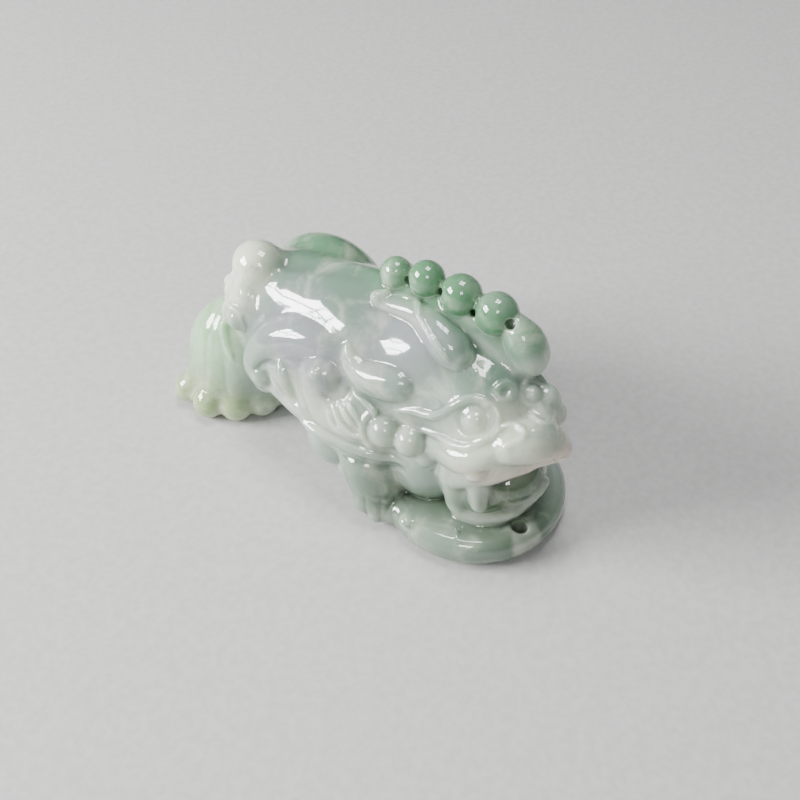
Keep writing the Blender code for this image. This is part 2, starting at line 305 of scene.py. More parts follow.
# The head is turned to the near side. Its places are (towards its left, back, up) from the eye line.
HEAD_PLACE = np.array((-0.3, -22.6, 21.5))
HEAD_AXES = turned(-19.0)
TAIL_PLACE = np.array((1.0, 18.6, 7.2))
TAIL_AXES = turned(-60.0)
CREST_X = 4.2


def on_head(*places):
    """Places given in the head's own frame."""
    return HEAD_PLACE + np.asarray(places, float) @ HEAD_AXES.T


def flank(side, back=0.0, mirror_x=MIRROR_X):
    """A maker of places on one flank: given for the near flank, and mirrored for the far one."""
    def at(*places):
        places = np.array(places, float)
        if side == FAR:
            places[:, 0] = 2 * mirror_x - places[:, 0]
            places[:, 1] += back
        return places
    return at


def face(side):
    """A maker of places on one half of the face, given for the near half in the head's own frame."""
    def at(*places):
        places = np.array(places, float)
        places[:, 0] *= -side
        return on_head(*places)
    return at


def add_trunk(stone):
    stone.lump((3.2, -1, 14.0), (9.3, 17, 12.6), blend=3)
    stone.lump((3.4, -11, 16.0), (8.4, 10, 11.2), blend=3)
    stone.lump((3.7, 9, 14.0), (8.3, 11, 10.9), blend=3)
    # the flanks, and the chest on both sides of the head
    stone.lump((-1.8, -5, 11.5), (6.8, 11, 7.0), turned(12), blend=2.5)
    stone.lump((7.4, -4, 11.5), (6.4, 11, 7.0), turned(-8), blend=2.5)
    stone.lump((-1.5, -13.6, 9.0), (5.6, 5.2, 7.0), HEAD_AXES, blend=1.5)
    stone.lump((5.2, -14.5, 9.0), (5.4, 5.2, 7.0), HEAD_AXES, blend=1.5)


def add_haunches(stone):
    for side in SIDES:
        at = flank(side, FAR_HAUNCH_BACK)
        stone.lump(at((-2.2, 4.8, 15.0))[0], (5.4, 6.8, 6.0), turned(6.0 * side), blend=0.8)
        stone.lump(at((-4.8, 0.2, 14.6))[0], (3.3, 4.2, 4.5), blend=1.2)
        # the thigh's thick curl, like a comma
        comma = at((-3.0, -2.8, 19.2), (-3.0, 1.4, 19.9), (-3.2, 5.4, 19.0), (-4.2, 8.7, 16.9),
                   (-4.9, 10.2, 14.0), (-5.2, 9.4, 11.8))
        stone.strand(comma, (1.5, 2.7, 3.15, 3.0, 2.7, 2.2), blend=0.7)
    # the far haunch swells past the spine, and a shallow crease runs along it
    stone.lump((8.2, 9.2, 16.2), (5.4, 9.2, 9.0), blend=0.8)
    crease = ((1.6, 12.0, 24.8), (2.4, 8.3, 25.4), (2.9, 4.4, 26.0), (3.2, 0.3, 26.6), (3.0, -2.2, 27.2))
    stone.groove(crease, (1.6, 2.6, 2.8, 2.4, 1.2), depth=0.32, blend=1.4)


def add_knees(stone):
    for side in SIDES:
        at = flank(side, FAR_HAUNCH_BACK)
        stone.lump(at((-4.7, 0.2, 16.9))[0], 3.4, blend=0.35)
        nub, out = stone.touch(at((-7.1, 0.0, 18.9))[0])
        stone.lump(nub - out * 0.55, 0.95, blend=0.25)
        # the curl's inner ball in its groove
        stone.groove(at((-8.2, 9.4, 11.8), (-8.1, 9.3, 13.0), (-7.7, 9.3, 14.6), (-7.3, 8.3, 16.0),
                        (-7.1, 7.2, 16.8), (-7.3, 6.0, 17.2)),
                     (0.3, 0.9, 1.0, 1.0, 0.8, 0.3), depth=0.4, blend=0.3)
        stone.lump(at((-6.1, 9.2, 13.2))[0], 1.95, blend=0.3)
        # strands of hair that leave the curl
        stone.ridge(at((-7.0, 6.0, 17.9), (-7.6, 5.2, 16.9), (-7.9, 4.5, 15.4), (-7.9, 3.8, 13.8),
                       (-7.9, 2.8, 12.4)),
                    (0.15, 0.7, 0.9, 0.8, 0.3), height=0.4, blend=0.35)
        stone.ridge(at((-6.7, 7.4, 15.0), (-7.2, 6.3, 13.8), (-7.6, 5.3, 12.8), (-7.9, 4.1, 12.2)),
                    (0.12, 0.4, 0.45, 0.2), height=0.6, blend=0.2)
        # creases behind and below the knee
        stone.groove(at((-7.5, 2.8, 17.6), (-7.9, 2.5, 16.6), (-8.2, 1.8, 15.0), (-8.5, 0.4, 13.2),
                        (-8.8, -1.6, 12.3)),
                     (0.2, 0.7, 0.8, 0.7, 0.3), depth=0.22, blend=0.4)
        stone.groove(at((-7.6, -1.4, 16.6), (-7.3, -2.8, 16.1), (-6.7, -4.0, 16.8), (-5.9, -4.2, 17.8)),
                     (0.6, 1.1, 1.1, 0.6), depth=0.3, blend=0.35)


def add_feet(stone):
    for side in SIDES:
        at = flank(side, FAR_HAUNCH_BACK)
        stone.lump(at((-3.0, 0.8, 3.4))[0], (3.1, 4.2, 3.5), blend=1.0)
        for step, r in enumerate((1.5, 1.6, 1.5)):
            toe = at((-4.6 + 1.9 * step, -2.6 - 0.3 * step, 1.5))[0]
            stone.lump(toe, (r * 0.8, r * 1.2, r), blend=0.35)
        at = flank(side)
        stone.strand(at((-4.0, -6.8, 10.2), (-6.0, -7.2, 7.4), (-6.9, -9.0, 3.2)), (4.3, 3.9, 3.1), blend=1.8)
        toes = at((-9.0, -8.4, 3.0), (-8.7, -10.2, 1.9), (-7.7, -11.7, 1.8), (-6.3, -12.6, 1.8))
        for toe, r in zip(toes, (1.45, 1.5, 1.5, 1.5)):
            stone.lump(toe, r, blend=0.9)
        # clefts between the toes, and two fold lines over them
        for cleft in (((-9.4, -8.9, 5.0), (-10.3, -9.2, 3.4), (-10.5, -9.4, 1.4)),
                      ((-8.8, -10.8, 4.8), (-9.6, -11.1, 3.2), (-9.8, -11.2, 1.2)),
                      ((-7.4, -12.0, 4.4), (-8.0, -12.6, 3.0), (-8.1, -12.9, 1.2))):
            stone.groove(at(*cleft), (0.3, 0.7, 0.7), depth=0.22, blend=0.3)
        for fold in (((-9.6, -9.8, 5.6), (-8.6, -11.2, 5.2), (-7.2, -12.2, 4.8)),
                     ((-9.9, -9.9, 4.5), (-8.9, -11.4, 4.0), (-7.6, -12.6, 3.8))):
            stone.groove(at(*fold), (0.3, 0.6, 0.3), depth=0.18, blend=0.2)


def add_coin(stone):
    stone.disc((1.6, -17.8, 2.0), radius=11.7, half=2.0, edge=1.7, blend=0.5)
    # a nub and a small tick where the forepaw meets the coin
    stone.lump((-9.1, -14.6, 3.3), (0.8, 1.1, 0.8), turned(-30), blend=0.5)
    stone.ridge(((-6.9, -20.3, 4.0), (-7.3, -20.9, 4.0), (-7.9, -21.2, 4.0)), (0.15, 0.3, 0.15),
                height=0.45, blend=0.3)


def add_head(stone):
    def lump(place, radii, blend):
        stone.lump(on_head(place)[0], radii, HEAD_AXES, blend=blend)

    lump((0.1, 6, -4.5), (6.8, 8.6, 7.8), blend=2)
    lump((0.1, 1.5, -5), (6.3, 5.2, 5.6), blend=1.6)
    lump((0.2, -1.2, -5.8), (5.5, 3.4, 3.8), blend=1.4)
    # the snout: a bulb that ends in a small turned-up tip behind a crease
    snout = on_head((-1.9, -3.0, -3.4), (0.2, -4.0, -3.2), (2.0, -5.0, -3.7), (3.3, -5.9, -4.5))
    stone.strand(snout, (2.3, 2.8, 2.3, 1.2), blend=0.9)
    lump((3.2, -5.7, -5.0), (1.5, 1.3, 1.6), blend=0.35)
    crease = on_head((2.9, -4.4, -2.4), (1.9, -5.6, -2.8), (1.3, -6.3, -4.2), (1.9, -6.2, -5.4))
    stone.groove(crease, (0.3, 0.7, 0.7, 0.3), depth=0.2, blend=0.3)
    # the far side of the face, the brow between the eyes, and the throat
    lump((3.2, 0.6, -2.6), (3.4, 3.2, 3.4), blend=1.2)
    lump((-1.0, 0.9, -2.6), (3.4, 3.0, 3.2), blend=1.4)
    lump((0.0, 4.4, -13.0), (5.2, 5.4, 5.0), blend=1.0)
    # the cheeks swell below the long cheek line
    for side in SIDES:
        cheek = face(side)((-6.0, 4.6, -7.2), (-5.9, 2.2, -6.6), (-5.5, 0.2, -6.0), (-4.7, -1.0, -5.0),
                           (-3.6, -1.8, -4.2), (-2.2, -2.4, -3.8))
        stone.strand(cheek, (1.6, 2.0, 2.0, 1.9, 1.7, 1.4), blend=0.9)


def add_eyes(stone):
    for side in SIDES:
        at = face(side)
        middle, out = stone.touch(at((-4.5, 0.7, -0.8))[0])
        # a shallow socket, the eyeball and the ring of its pupil
        stone.lump(middle + out * 2.1, 2.7, blend=0.8, cut=True)
        stone.lump(middle - out * 1.5, 2.0, blend=0.15)
        stone.groove(loop(middle, out, 0.95, steps=15), 0.4, depth=0.16, blend=0.1)
        # the long brow, and the lid that comes down round the eye
        brow = at((-8.7, 9.8, -4.3), (-7.3, 7.4, -3.3), (-6.9, 6.3, -3.1), (-6.6, 5.2, -2.6),
                  (-6.0, 4.2, -1.6), (-5.5, 3.6, -0.6), (-4.8, 3.0, 0.3), (-4.0, 2.4, 0.9),
                  (-3.2, 1.6, 1.1), (-2.5, 0.7, 0.9))
        stone.ridge(brow, (0.2, 0.55, 0.6, 0.55, 0.45, 0.42, 0.42, 0.42, 0.38, 0.3), height=0.5, blend=0.22)
        lid = at((-2.6, 0.8, 0.9), (-2.2, -0.1, 0.5), (-2.3, -1.0, -0.3), (-3.0, -1.5, -1.1),
                 (-3.9, -1.4, -1.8), (-4.9, -0.6, -2.3), (-5.7, 0.6, -2.7), (-6.0, 1.8, -2.5))
        stone.ridge(lid, (0.3, 0.3, 0.3, 0.3, 0.3, 0.3, 0.28, 0.15), height=0.45, blend=0.2)


def add_cheek_lines(stone):
    """One long line on each side: along the cheek, over the muzzle and back round the nostril."""
    for side in SIDES:
        line = face(side)((-8.7, 9.4, -5.1), (-7.3, 6.9, -5.7), (-6.9, 5.4, -5.4), (-6.6, 3.6, -4.9),
                          (-6.4, 1.6, -4.5), (-5.9, -0.1, -3.8), (-5.0, -1.0, -2.8), (-3.8, -1.5, -1.8),
                          (-2.5, -1.9, -1.1), (-1.3, -2.6, -1.0), (-1.0, -3.6, -0.9), (-1.4, -4.4, -0.9),
                          (-2.1, -4.4, -1.3), (-3.0, -3.8, -1.8), (-3.5, -3.4, -2.6))
        thick = (0.2, 0.38, 0.45, 0.5, 0.5, 0.45, 0.42, 0.4, 0.4, 0.4, 0.38, 0.36, 0.36, 0.32, 0.2)
        stone.ridge(line, thick, height=0.5, blend=0.18)


def add_mouth(stone):
    # the jaw fills the space behind the lips, and the tongue lies on it
    stone.lump(on_head((0.0, 1.2, -14.0))[0], (5.5, 4.2, 3.4), HEAD_AXES, blend=0.8)
    for side in SIDES:
        at = face(side)
        upper_lip = at((-6.0, 3.4, -10.6), (-5.7, 1.9, -10.2), (-5.0, 0.2, -9.0), (-3.7, -1.4, -8.1),
                       (-2.0, -2.8, -7.1), (-0.4, -3.7, -6.9))
        stone.strand(upper_lip, (1.2, 1.7, 1.8, 1.7, 1.5, 1.2), blend=0.6)
        lobes = at((-6.3, 2.2, -8.4), (-5.9, 0.9, -8.3), (-5.2, -0.9, -7.2))
        for lobe, r in zip(lobes, (1.15, 1.05, 1.5)):
            stone.lump(lobe, r, blend=0.45)
        lower_lip = at((-5.2, 2.6, -14.6), (-5.2, 1.7, -16.0), (-4.7, 0.8, -16.9), (-3.6, -0.8, -16.9),
                       (-2.0, -2.2, -16.5), (-0.6, -3.0, -15.8))
        stone.strand(lower_lip, (0.9, 1.1, 1.15, 1.15, 1.1, 1.0), blend=0.9)
        corner = at((-5.9, 2.2, -9.6), (-5.5, 2.0, -12.4), (-5.1, 2.0, -15.2))
        stone.strand(corner, (1.5, 1.7, 1.4), blend=1.2)
        # the fang comes down over the lower lip
        fang = at((-4.6, -0.6, -9.6), (-4.6, -1.2, -11.4), (-4.7, -1.6, -13.2))
        stone.strand(fang, (1.55, 1.25, 1.0), blend=0.25)
    # both lips run on round the front, past the middle of the face
    upper_front = on_head((-0.8, -3.4, -7.0), (1.2, -4.6, -6.3), (2.6, -5.6, -5.9), (3.4, -6.1, -5.4))
    stone.strand(upper_front, (1.1, 0.95, 0.75, 0.55), blend=0.4)
    lower_front = on_head((-0.8, -2.7, -16.0), (0.8, -3.2, -15.0), (2.4, -3.5, -13.8), (3.8, -3.2, -13.4))
    stone.strand(lower_front, (1.1, 1.05, 1.0, 0.9), blend=0.45)
    stone.lump(on_head((0.9, -1.7, -12.3))[0], (3.7, 2.5, 2.6), pitched(HEAD_AXES, -20), blend=1.2)
    stone.lump(on_head((-2.8, 0.2, -12.6))[0], (2.7, 2.0, 3.4), HEAD_AXES, blend=1.4)
    under_nose = on_head((-1.2, -4.9, -5.9), (-1.2, -5.6, -4.7), (-0.2, -6.2, -4.2), (1.4, -6.6, -4.7),
                         (2.8, -6.9, -5.2))
    stone.groove(under_nose, (0.5, 0.6, 0.6, 0.5, 0.3), depth=0.22, blend=0.2)


def add_forehead(stone):
    spot, out = stone.touch(on_head((-0.2, 0.5, 1.2))[0])
    curl = loop(spot, out, 1.55, steps=23, turns=1.6, start=0.6, inner=0.45, flat=0.72)
    stone.ridge(curl, 0.3, height=0.42, blend=0.2)
    # domes, each in a raised loop
    for place, radius in (((2.9, -0.9, 0.4), 1.5), ((3.6, -2.4, -1.0), 1.05)):
        spot, out = stone.touch(on_head(place)[0])
        stone.lump(spot - out * 0.35 * radius, radius * 0.8, blend=0.2)
        ring = loop(spot - out * 0.1, out, radius, steps=25)
        stone.rod(ring, np.full(len(ring), 0.3), blend=0.3)
    # knots of hair on the far temple
    knots = on_head((2.7, -2.5, -2.3), (4.3, -1.4, -3.2), (4.7, -1.3, -1.0), (5.1, -1.8, -3.3),
                    (4.9, -1.6, -5.2))
    for knot, r in zip(knots, (1.9, 2.3, 1.7, 1.9, 1.6)):
        stone.lump(knot, r, blend=0.7)


def add_mane(stone):
    for side in SIDES:
        at = flank(side, FAR_MANE_BACK)
        balls = at((-6.1, -9.6, 14.0), (-5.6, -12.9, 13.8), (-5.0, -14.9, 12.3))
        for ball, r in zip(balls, (2.15, 2.05, 1.8)):
            stone.lump(ball, r, blend=0.3)
        # the lines that wrap round the first ball and the last one
        stone.ridge(at((-5.7, -8.0, 16.6), (-6.8, -7.2, 15.2), (-7.6, -7.4, 13.6), (-7.7, -8.6, 12.2),
                       (-7.4, -10.2, 11.8)),
                    (0.25, 0.4, 0.45, 0.4, 0.2), height=0.4, blend=0.25)
        stone.ridge(at((-5.0, -15.4, 14.4), (-4.9, -16.6, 13.4), (-5.3, -16.8, 12.2), (-6.2, -15.9, 11.0)),
                    (0.2, 0.4, 0.4, 0.2), height=0.45, blend=0.25)


def add_feathers(stone):
    ribs = (((-6.1, -4.9, 17.4), (-6.1, -6.5, 17.1), (-6.2, -7.9, 16.5), (-6.6, -8.4, 15.6)),
            ((-6.8, -4.1, 16.6), (-7.2, -5.7, 15.7), (-7.5, -7.4, 14.5)),
            ((-7.2, -3.3, 16.1), (-7.8, -5.4, 14.8), (-7.9, -6.9, 14.0)),
            ((-7.6, -2.7, 15.7), (-8.2, -4.3, 14.2), (-8.3, -6.4, 13.2), (-7.9, -7.8, 13.2)),
            ((-7.9, -1.8, 15.5), (-8.5, -3.3, 13.7), (-8.5, -5.2, 13.0), (-8.1, -7.2, 12.8)))
    for side in SIDES:
        at = flank(side, FAR_WING_BACK)
        for rib in ribs:
            thick = (0.1,) + (0.36,) * (len(rib) - 2) + (0.12,)
            stone.ridge(at(*rib), thick, height=0.75, blend=0.12)
        # the wing's long lower edge: its body, its sharp line and the undercut below it
        stone.strand(at((-5.4, 8.6, 12.2), (-6.3, 5.6, 12.0), (-7.1, 2.6, 11.9), (-7.7, -0.6, 11.6),
                        (-8.0, -3.0, 11.4)),
                     (1.6, 1.5, 1.5, 1.3, 0.9), blend=0.8)
        stone.ridge(at((-8.4, 1.4, 11.6), (-8.6, -0.6, 11.5), (-8.8, -2.8, 11.3), (-8.7, -5.4, 11.2),
                       (-8.2, -8.2, 11.2), (-7.3, -10.6, 10.8), (-6.8, -12.9, 10.8)),
                    (0.2, 0.7, 0.8, 0.75, 0.7, 0.55, 0.2), height=0.5, blend=0.35)
        stone.groove(at((-8.6, -1.5, 10.0), (-8.6, -4.6, 9.7), (-8.2, -7.6, 9.7), (-7.4, -10.6, 9.5),
                        (-6.6, -12.8, 9.6)),
                     (0.6, 1.2, 1.3, 1.0, 0.5), depth=0.3, blend=0.5)


def add_ears(stone):
    for side in SIDES:
        at = flank(side, FAR_EAR_BACK)
        stone.ridge(at((-3.9, -2.6, 22.0), (-4.6, -3.5, 20.7), (-4.9, -5.2, 19.8), (-4.9, -7.4, 19.8),
                       (-4.7, -9.6, 20.3), (-4.5, -10.6, 20.6)),
                    (0.7, 1.4, 2.0, 2.45, 2.3, 1.7), height=0.3, blend=0.15)
        stone.groove(at((-4.7, -3.0, 21.2), (-5.4, -4.4, 20.2), (-5.7, -6.0, 19.4), (-5.6, -7.6, 18.9)),
                     (0.3, 1.0, 1.0, 0.3), depth=0.1, blend=0.6)


def add_horns(stone):
    for side in SIDES:
        at = flank(side, mirror_x=HORN_MIRROR_X)
        leaf = at((1.3, -3.7, 26.2), (1.5, -6.4, 26.3), (1.3, -9.4, 26.7), (0.5, -12.3, 26.4),
                  (0.0, -14.4, 25.6), (-0.3, -15.8, 24.9))
        stone.ridge(leaf, (1.1, 1.25, 1.55, 2.1, 2.35, 1.8), height=0.33, blend=0.12)
        vein = at((1.5, -4.0, 26.3), (1.9, -6.0, 26.5), (1.6, -8.8, 26.7), (0.6, -11.4, 26.4),
                  (-0.4, -14.2, 25.3), (-0.8, -15.2, 24.7))
        stone.ridge(vein, (0.12, 0.3, 0.36, 0.36, 0.32, 0.12), height=0.65, blend=0.15)
        # the knob at its root and two drops at its end
        stone.rod(at((1.0, -3.4, 26.8), (1.9, -4.1, 26.9)), (0.85, 0.7), blend=0.2)
        stone.lump(at((-0.7, -15.0, 25.4))[0], 0.6, blend=0.2)
        stone.lump(at((0.9, -16.2, 25.2))[0], 0.5, blend=0.2)


def add_crest(stone):
    nape = ((4.0, 3, 24.2), (4.2, -4, 25.8), (4.2, -11, 26.9), (4.2, -17, 26.4), (3.8, -21.5, 23.9))
    stone.strand(nape, (1.6, 1.9, 2.0, 2.0, 1.6), blend=3.0)
    for y, z, r in ((-4.0, 28.6, 2.05), (-8.3, 29.7, 2.25), (-13.0, 29.5, 2.55), (-17.8, 29.1, 2.6)):
        stone.lump((CREST_X, y, z), (r * 0.94, r, r), blend=0.4)
    crown = ((4.2, -20.4, 28.4), (4.1, -21.8, 26.8), (4.2, -22.9, 25.0), (4.2, -23.4, 23.6))
    stone.strand(crown, (1.6, 2.35, 2.0, 1.0), blend=0.35)


def add_scallops(stone, places, radii, thin, blend):
    """Rounds along the fan's rim, each with a short stem that leans in towards the fan."""
    for place, r, thickness in zip(places, radii, thin):
        stone.lump(place, r, blend=blend)
        inward = (TAIL_PLACE - np.array(place)) * (0.12, 0.12, 0.4)
        stone.rod((place, place + inward), thickness, blend=1.8)


def add_tail(stone):
    # the root and the fan
    stone.lump((1.4, 15.3, 23.0), (3.2, 3.6, 3.1), blend=2.2)
    stone.lump(TAIL_PLACE, (8.2, 6.1, 8.9), TAIL_AXES, blend=1.0)
    stone.lump((0.8, 16.0, 17.2), (3.3, 3.2, 5.5), blend=1.5)
    stone.strand(((0.6, 15.4, 22.0), (-0.9, 15.6, 19.6), (-2.0, 16.0, 17.0)), (2.6, 2.4, 2.3), blend=1.2)
    stone.lump((-1.6, 13.8, 17.6), (2.4, 2.4, 3.0), blend=1.6)
    # the fan widens towards its scalloped lower rim
    for x, y in ((-4.1, 22.8), (-4.2, 19.8), (-3.1, 17.2), (-0.7, 15.4)):
        stone.lump((x, y, 3.4), (2.4, 2.4, 4.0), blend=2.2)
    near_rim = ((-5.9, 24.3, 2.0), (-6.3, 20.2, 2.0), (-4.6, 16.8, 2.0), (-1.9, 14.5, 2.0), (1.2, 12.8, 2.0))
    near_radii = (1.85, 2.15, 2.2, 2.15, 1.9)
    stone.strand(near_rim, (1.0, 1.1, 1.1, 1.1, 1.0), blend=2.0)
    add_scallops(stone, near_rim, near_radii, [(r * 0.85, r * 0.6) for r in near_radii], blend=0.4)
    far_rim = ((-1.4, 25.2, 2.0), (2.6, 24.2, 2.0), (5.0, 21.6, 2.0), (6.4, 18.4, 2.0))
    add_scallops(stone, far_rim, (2.0,) * len(far_rim), [(1.7, 1.2)] * len(far_rim), blend=0.8)
    # faint hair lines fan out from the root
    hair_lines = (
        ((-0.6, 21.6, 16.4), (-3.7, 22.4, 12.8), (-5.0, 23.6, 9.6), (-5.4, 24.6, 6.0), (-5.6, 24.4, 3.6)),
        ((-1.2, 20.7, 15.6), (-3.9, 20.7, 13.1), (-5.4, 20.4, 10.0), (-6.0, 20.4, 7.0), (-6.4, 20.0, 4.0)),
        ((-3.0, 18.4, 14.4), (-4.4, 18.0, 12.0), (-5.2, 17.6, 9.0), (-5.4, 17.4, 6.0), (-5.2, 17.0, 4.0)),
        ((1.4, 22.8, 16.0), (-0.6, 24.6, 12.4), (-1.6, 25.6, 8.6), (-2.0, 26.0, 4.0)),
        ((3.6, 22.6, 15.6), (3.2, 24.4, 12.0), (3.0, 25.2, 8.4), (2.8, 25.4, 4.0)),
        ((5.4, 21.0, 15.0), (6.6, 22.2, 11.6), (7.0, 22.8, 8.0), (7.0, 23.0, 4.0)),
    )
    for line in hair_lines:
        width = (0.4,) + (0.9,) * (len(line) - 2) + (0.4,)
        stone.groove(line, width, depth=0.05, blend=0.5)
    # curls of hair where the fan leaves the root
    stone.lump((-0.8, 18.2, 20.3), 1.15, blend=0.9)
    stone.lump((-2.2, 14.6, 20.2), (0.9, 1.1, 1.2), blend=1.0)
    spot, out = stone.touch((-2.7, 15.7, 17.2))
    stone.lump(spot - out * 1.0, 1.7, blend=0.6)
    hook = ((-2.6, 17.4, 15.6), (-2.9, 17.5, 17.4), (-2.6, 16.4, 18.6), (-2.8, 15.0, 18.2),
            (-3.3, 14.6, 16.8))
    stone.ridge(hook, (0.3, 0.45, 0.45, 0.4, 0.2), height=0.5, blend=0.25)
    lock = ((-0.6, 16.6, 22.6), (-1.4, 17.2, 20.4), (-2.0, 18.4, 18.0), (-3.0, 18.8, 15.0),
            (-3.6, 18.0, 12.4), (-4.2, 16.6, 10.0))
    stone.ridge(lock, (0.3, 0.55, 0.6, 0.6, 0.5, 0.3), height=0.45, blend=0.3)


def drill_holes(stone):
    """Fine holes slant into the crest between the beads, and the cord hole goes through the coin."""
    slant = np.array((0.75, 0.25, -0.6))
    mouths = np.array(((2.9, -6.2, 29.4), (2.8, -10.9, 29.9), (3.1, -15.3, 28.7), (3.1, -20.1, 29.4)))
    for mouth, r in zip(mouths, (0.45, 0.45, 0.42, 0.6)):
        stone.rod((mouth - slant * 2, mouth + slant * 2.4), (r, r), blend=0.12, cut=True)
    cord_hole = ((-2.1, -26.7, -1), (-2.1, -26.7, 3.9))
    stone.rod(cord_hole, (0.95, 0.95), blend=0.25, cut=True)


def carve_pixiu(cell):
    stone = Stone(GRID_LOW, GRID_HIGH, cell)
    for add_part in (add_trunk, add_haunches, add_feet, add_head, add_crest, add_tail, add_coin, add_knees,
                     add_ears, add_horns, add_mouth, add_eyes, add_cheek_lines, add_forehead, add_mane,
                     add_feathers, drill_holes):
        add_part(stone)
    stone.soften()
    stone.cut_ground()
    return stone


# How far below and above the surface the stone is looked at, in millimetres.
THIN_DEPTH = 2.4
HOLLOW_HEIGHT = 0.8

# The floor, in metres, lies a hair below the ground that the carving stands on.
FLOOR_REACH = 1.5
FLOOR_LEVEL = -0.0002

# The camera: what it looks at, its direction in degrees and its distance in millimetres.
LOOK_AT = np.array((4.98, -1.04, 4.30)) * MM
AZIMUTH = -55.0
ELEVATION = 45.0
DISTANCE = 150.0

# Windows of square panes: name, direction, columns, rows, step from pane to pane (m), power of a pane (W).
WINDOWS = (
    ("side_window", (-0.595, 0.684, 0.423), 3, 2, 0.078, 0.9),
    ("roof_window", (0.12, 0.05, 1.0), 2, 2, 0.088, 0.38),
    ("room_window", (-0.63, -0.33, 0.70), 2, 2, 0.05, 0.12),
)
PANE_SHARE = 0.88
WINDOW_DISTANCE = 0.45
LIT_MIDDLE = np.array((0, 0, 0.015))


def stone_object(stone, name, shift):
    """The stone's zero level as a smooth mesh object in the shared frame, in metres."""
    vertices, quads = surface_net(stone)
    vertices, _ = stone.settle(vertices, SURFACE_STEPS)
    vertices[:, 2] = np.maximum(vertices[:, 2], 0)
    mesh = bpy.data.meshes.new(name)
    mesh.from_pydata(((vertices + shift) * MM).tolist(), [], quads.tolist())
    mesh.validate()
    piece = bpy.data.objects.new(name, mesh)
    bpy.context.collection.objects.link(piece)
    thin = piece.modifiers.new("thin", "DECIMATE")
    thin.ratio = min(1.0, STONE_TRIANGLES / (2 * len(quads)))
    graph = bpy.context.evaluated_depsgraph_get()
    final = bpy.data.meshes.new_from_object(piece.evaluated_get(graph))
    piece.modifiers.clear()
    piece.data = final
    final.name = name
    final.polygons.foreach_set("use_smooth", [True] * len(final.polygons))
    return piece


def write_attribute(mesh, name, values):
    attribute = mesh.attributes.new(name, "FLOAT", "POINT")
    attribute.data.foreach_set("value", np.asarray(values, np.float32))


def record_relief(piece, stone, shift):
    """Store at each vertex how thin the stone is below it, and how deep it lies in a hollow."""
    mesh = piece.data
    places = np.empty(3 * len(mesh.vertices))
    mesh.vertices.foreach_get("co", places)
    places = places.reshape(-1, 3) / MM - shift
    _, out = stone.sample(places)
    # how thin the stone is below each vertex: this mask lightens thin edges with a painted glow
    below, _ = stone.sample(places - out * THIN_DEPTH)
    write_attribute(mesh, "thin", np.clip(1 + below / THIN_DEPTH, 0, 1))
    above, _ = stone.sample(places + out * HOLLOW_HEIGHT)
    write_attribute(mesh, "sunk", np.clip(1 - above / HOLLOW_HEIGHT, 0, 1))


class Nodes:
    """A material's node tree, with short calls for the nodes that are used here."""

    def __init__(self, name):
        self.material = bpy.data.materials.new(name)
        self.material.use_nodes = True
        self.tree = self.material.node_tree
        self.shader = self.tree.nodes["Principled BSDF"]

    def add(self, kind, inputs=(), **settings):
        node = self.tree.nodes.new(kind)
        for key, value in settings.items():
            setattr(node, key, value)
        for key, value in dict(inputs).items():
            if isinstance(value, bpy.types.NodeSocket):
                self.tree.links.new(value, node.inputs[key])
            else:
                node.inputs[key].default_value = value
        return node

    def noise(self, where, scale, detail=3.0, roughness=0.55, distortion=0.0):
        inputs = {"Vector": where, "Scale": scale, "Detail": detail, "Roughness": roughness,
                  "Distortion": distortion}
        return self.add("ShaderNodeTexNoise", inputs).outputs["Fac"]

    def span(self, value, low, high, to_low=0.0, to_high=1.0):
        inputs = {0: value, 1: low, 2: high, 3: to_low, 4: to_high}
        return self.add("ShaderNodeMapRange", inputs, interpolation_type="SMOOTHSTEP").outputs[0]

    def maths(self, operation, *values):
        node = self.add("ShaderNodeMath", dict(enumerate(values)), operation=operation)
        return node.outputs[0]

    def vector(self, operation, *values, output="Vector"):
        node = self.add("ShaderNodeVectorMath", dict(enumerate(values)), operation=operation)
        return node.outputs[output]

    def scaled(self, vector, factor):
        inputs = {0: vector, "Scale": factor}
        return self.add("ShaderNodeVectorMath", inputs, operation="SCALE").outputs["Vector"]

    def mix(self, share, first, second, blend="MIX"):
        inputs = {0: share, 6: first, 7: second}
        return self.add("ShaderNodeMix", inputs, data_type="RGBA", blend_type=blend).outputs[2]

    def attribute(self, name):
        return self.add("ShaderNodeAttribute", attribute_name=name).outputs["Fac"]

    def link(self, value, socket):
        self.tree.links.new(value, self.shader.inputs[socket])

    def put(self, **values):
        for key, value in values.items():
            self.shader.inputs[key.replace("_", " ")].default_value = value


def tone(red, green, blue):
    """A colour given as it looks on a screen, 0 to 255, made linear for the shader."""
    parts = []
    for part in (red, green, blue):
        part /= 255
        parts.append(part / 12.92 if part <= 0.04045 else ((part + 0.055) / 1.055) ** 2.4)
    return (*parts, 1.0)


PALE = tone(138, 155, 142)
LAVENDER = tone(150, 152, 158)
MILK = tone(220, 224, 204)
GREEN = tone(86, 132, 96)
MINT = tone(164, 198, 158)
MOSS = tone(72, 96, 66)
BLUE_GREEN = tone(100, 128, 110)
BLUSH = tone(220, 190, 178)
HONEY = tone(160, 178, 118)
GREY_GREEN = tone(118, 140, 128)
# the next two are painted light: a painted glow for thin edges and painted shade for hollows
PAINTED_THIN_GLOW = tone(232, 236, 224)
HOLLOW_SHADE = tone(150, 160, 152)
BROWN_SPECK = tone(60, 52, 40)
FLOOR_GREYS = (tone(186, 186, 184), tone(196, 196, 194))

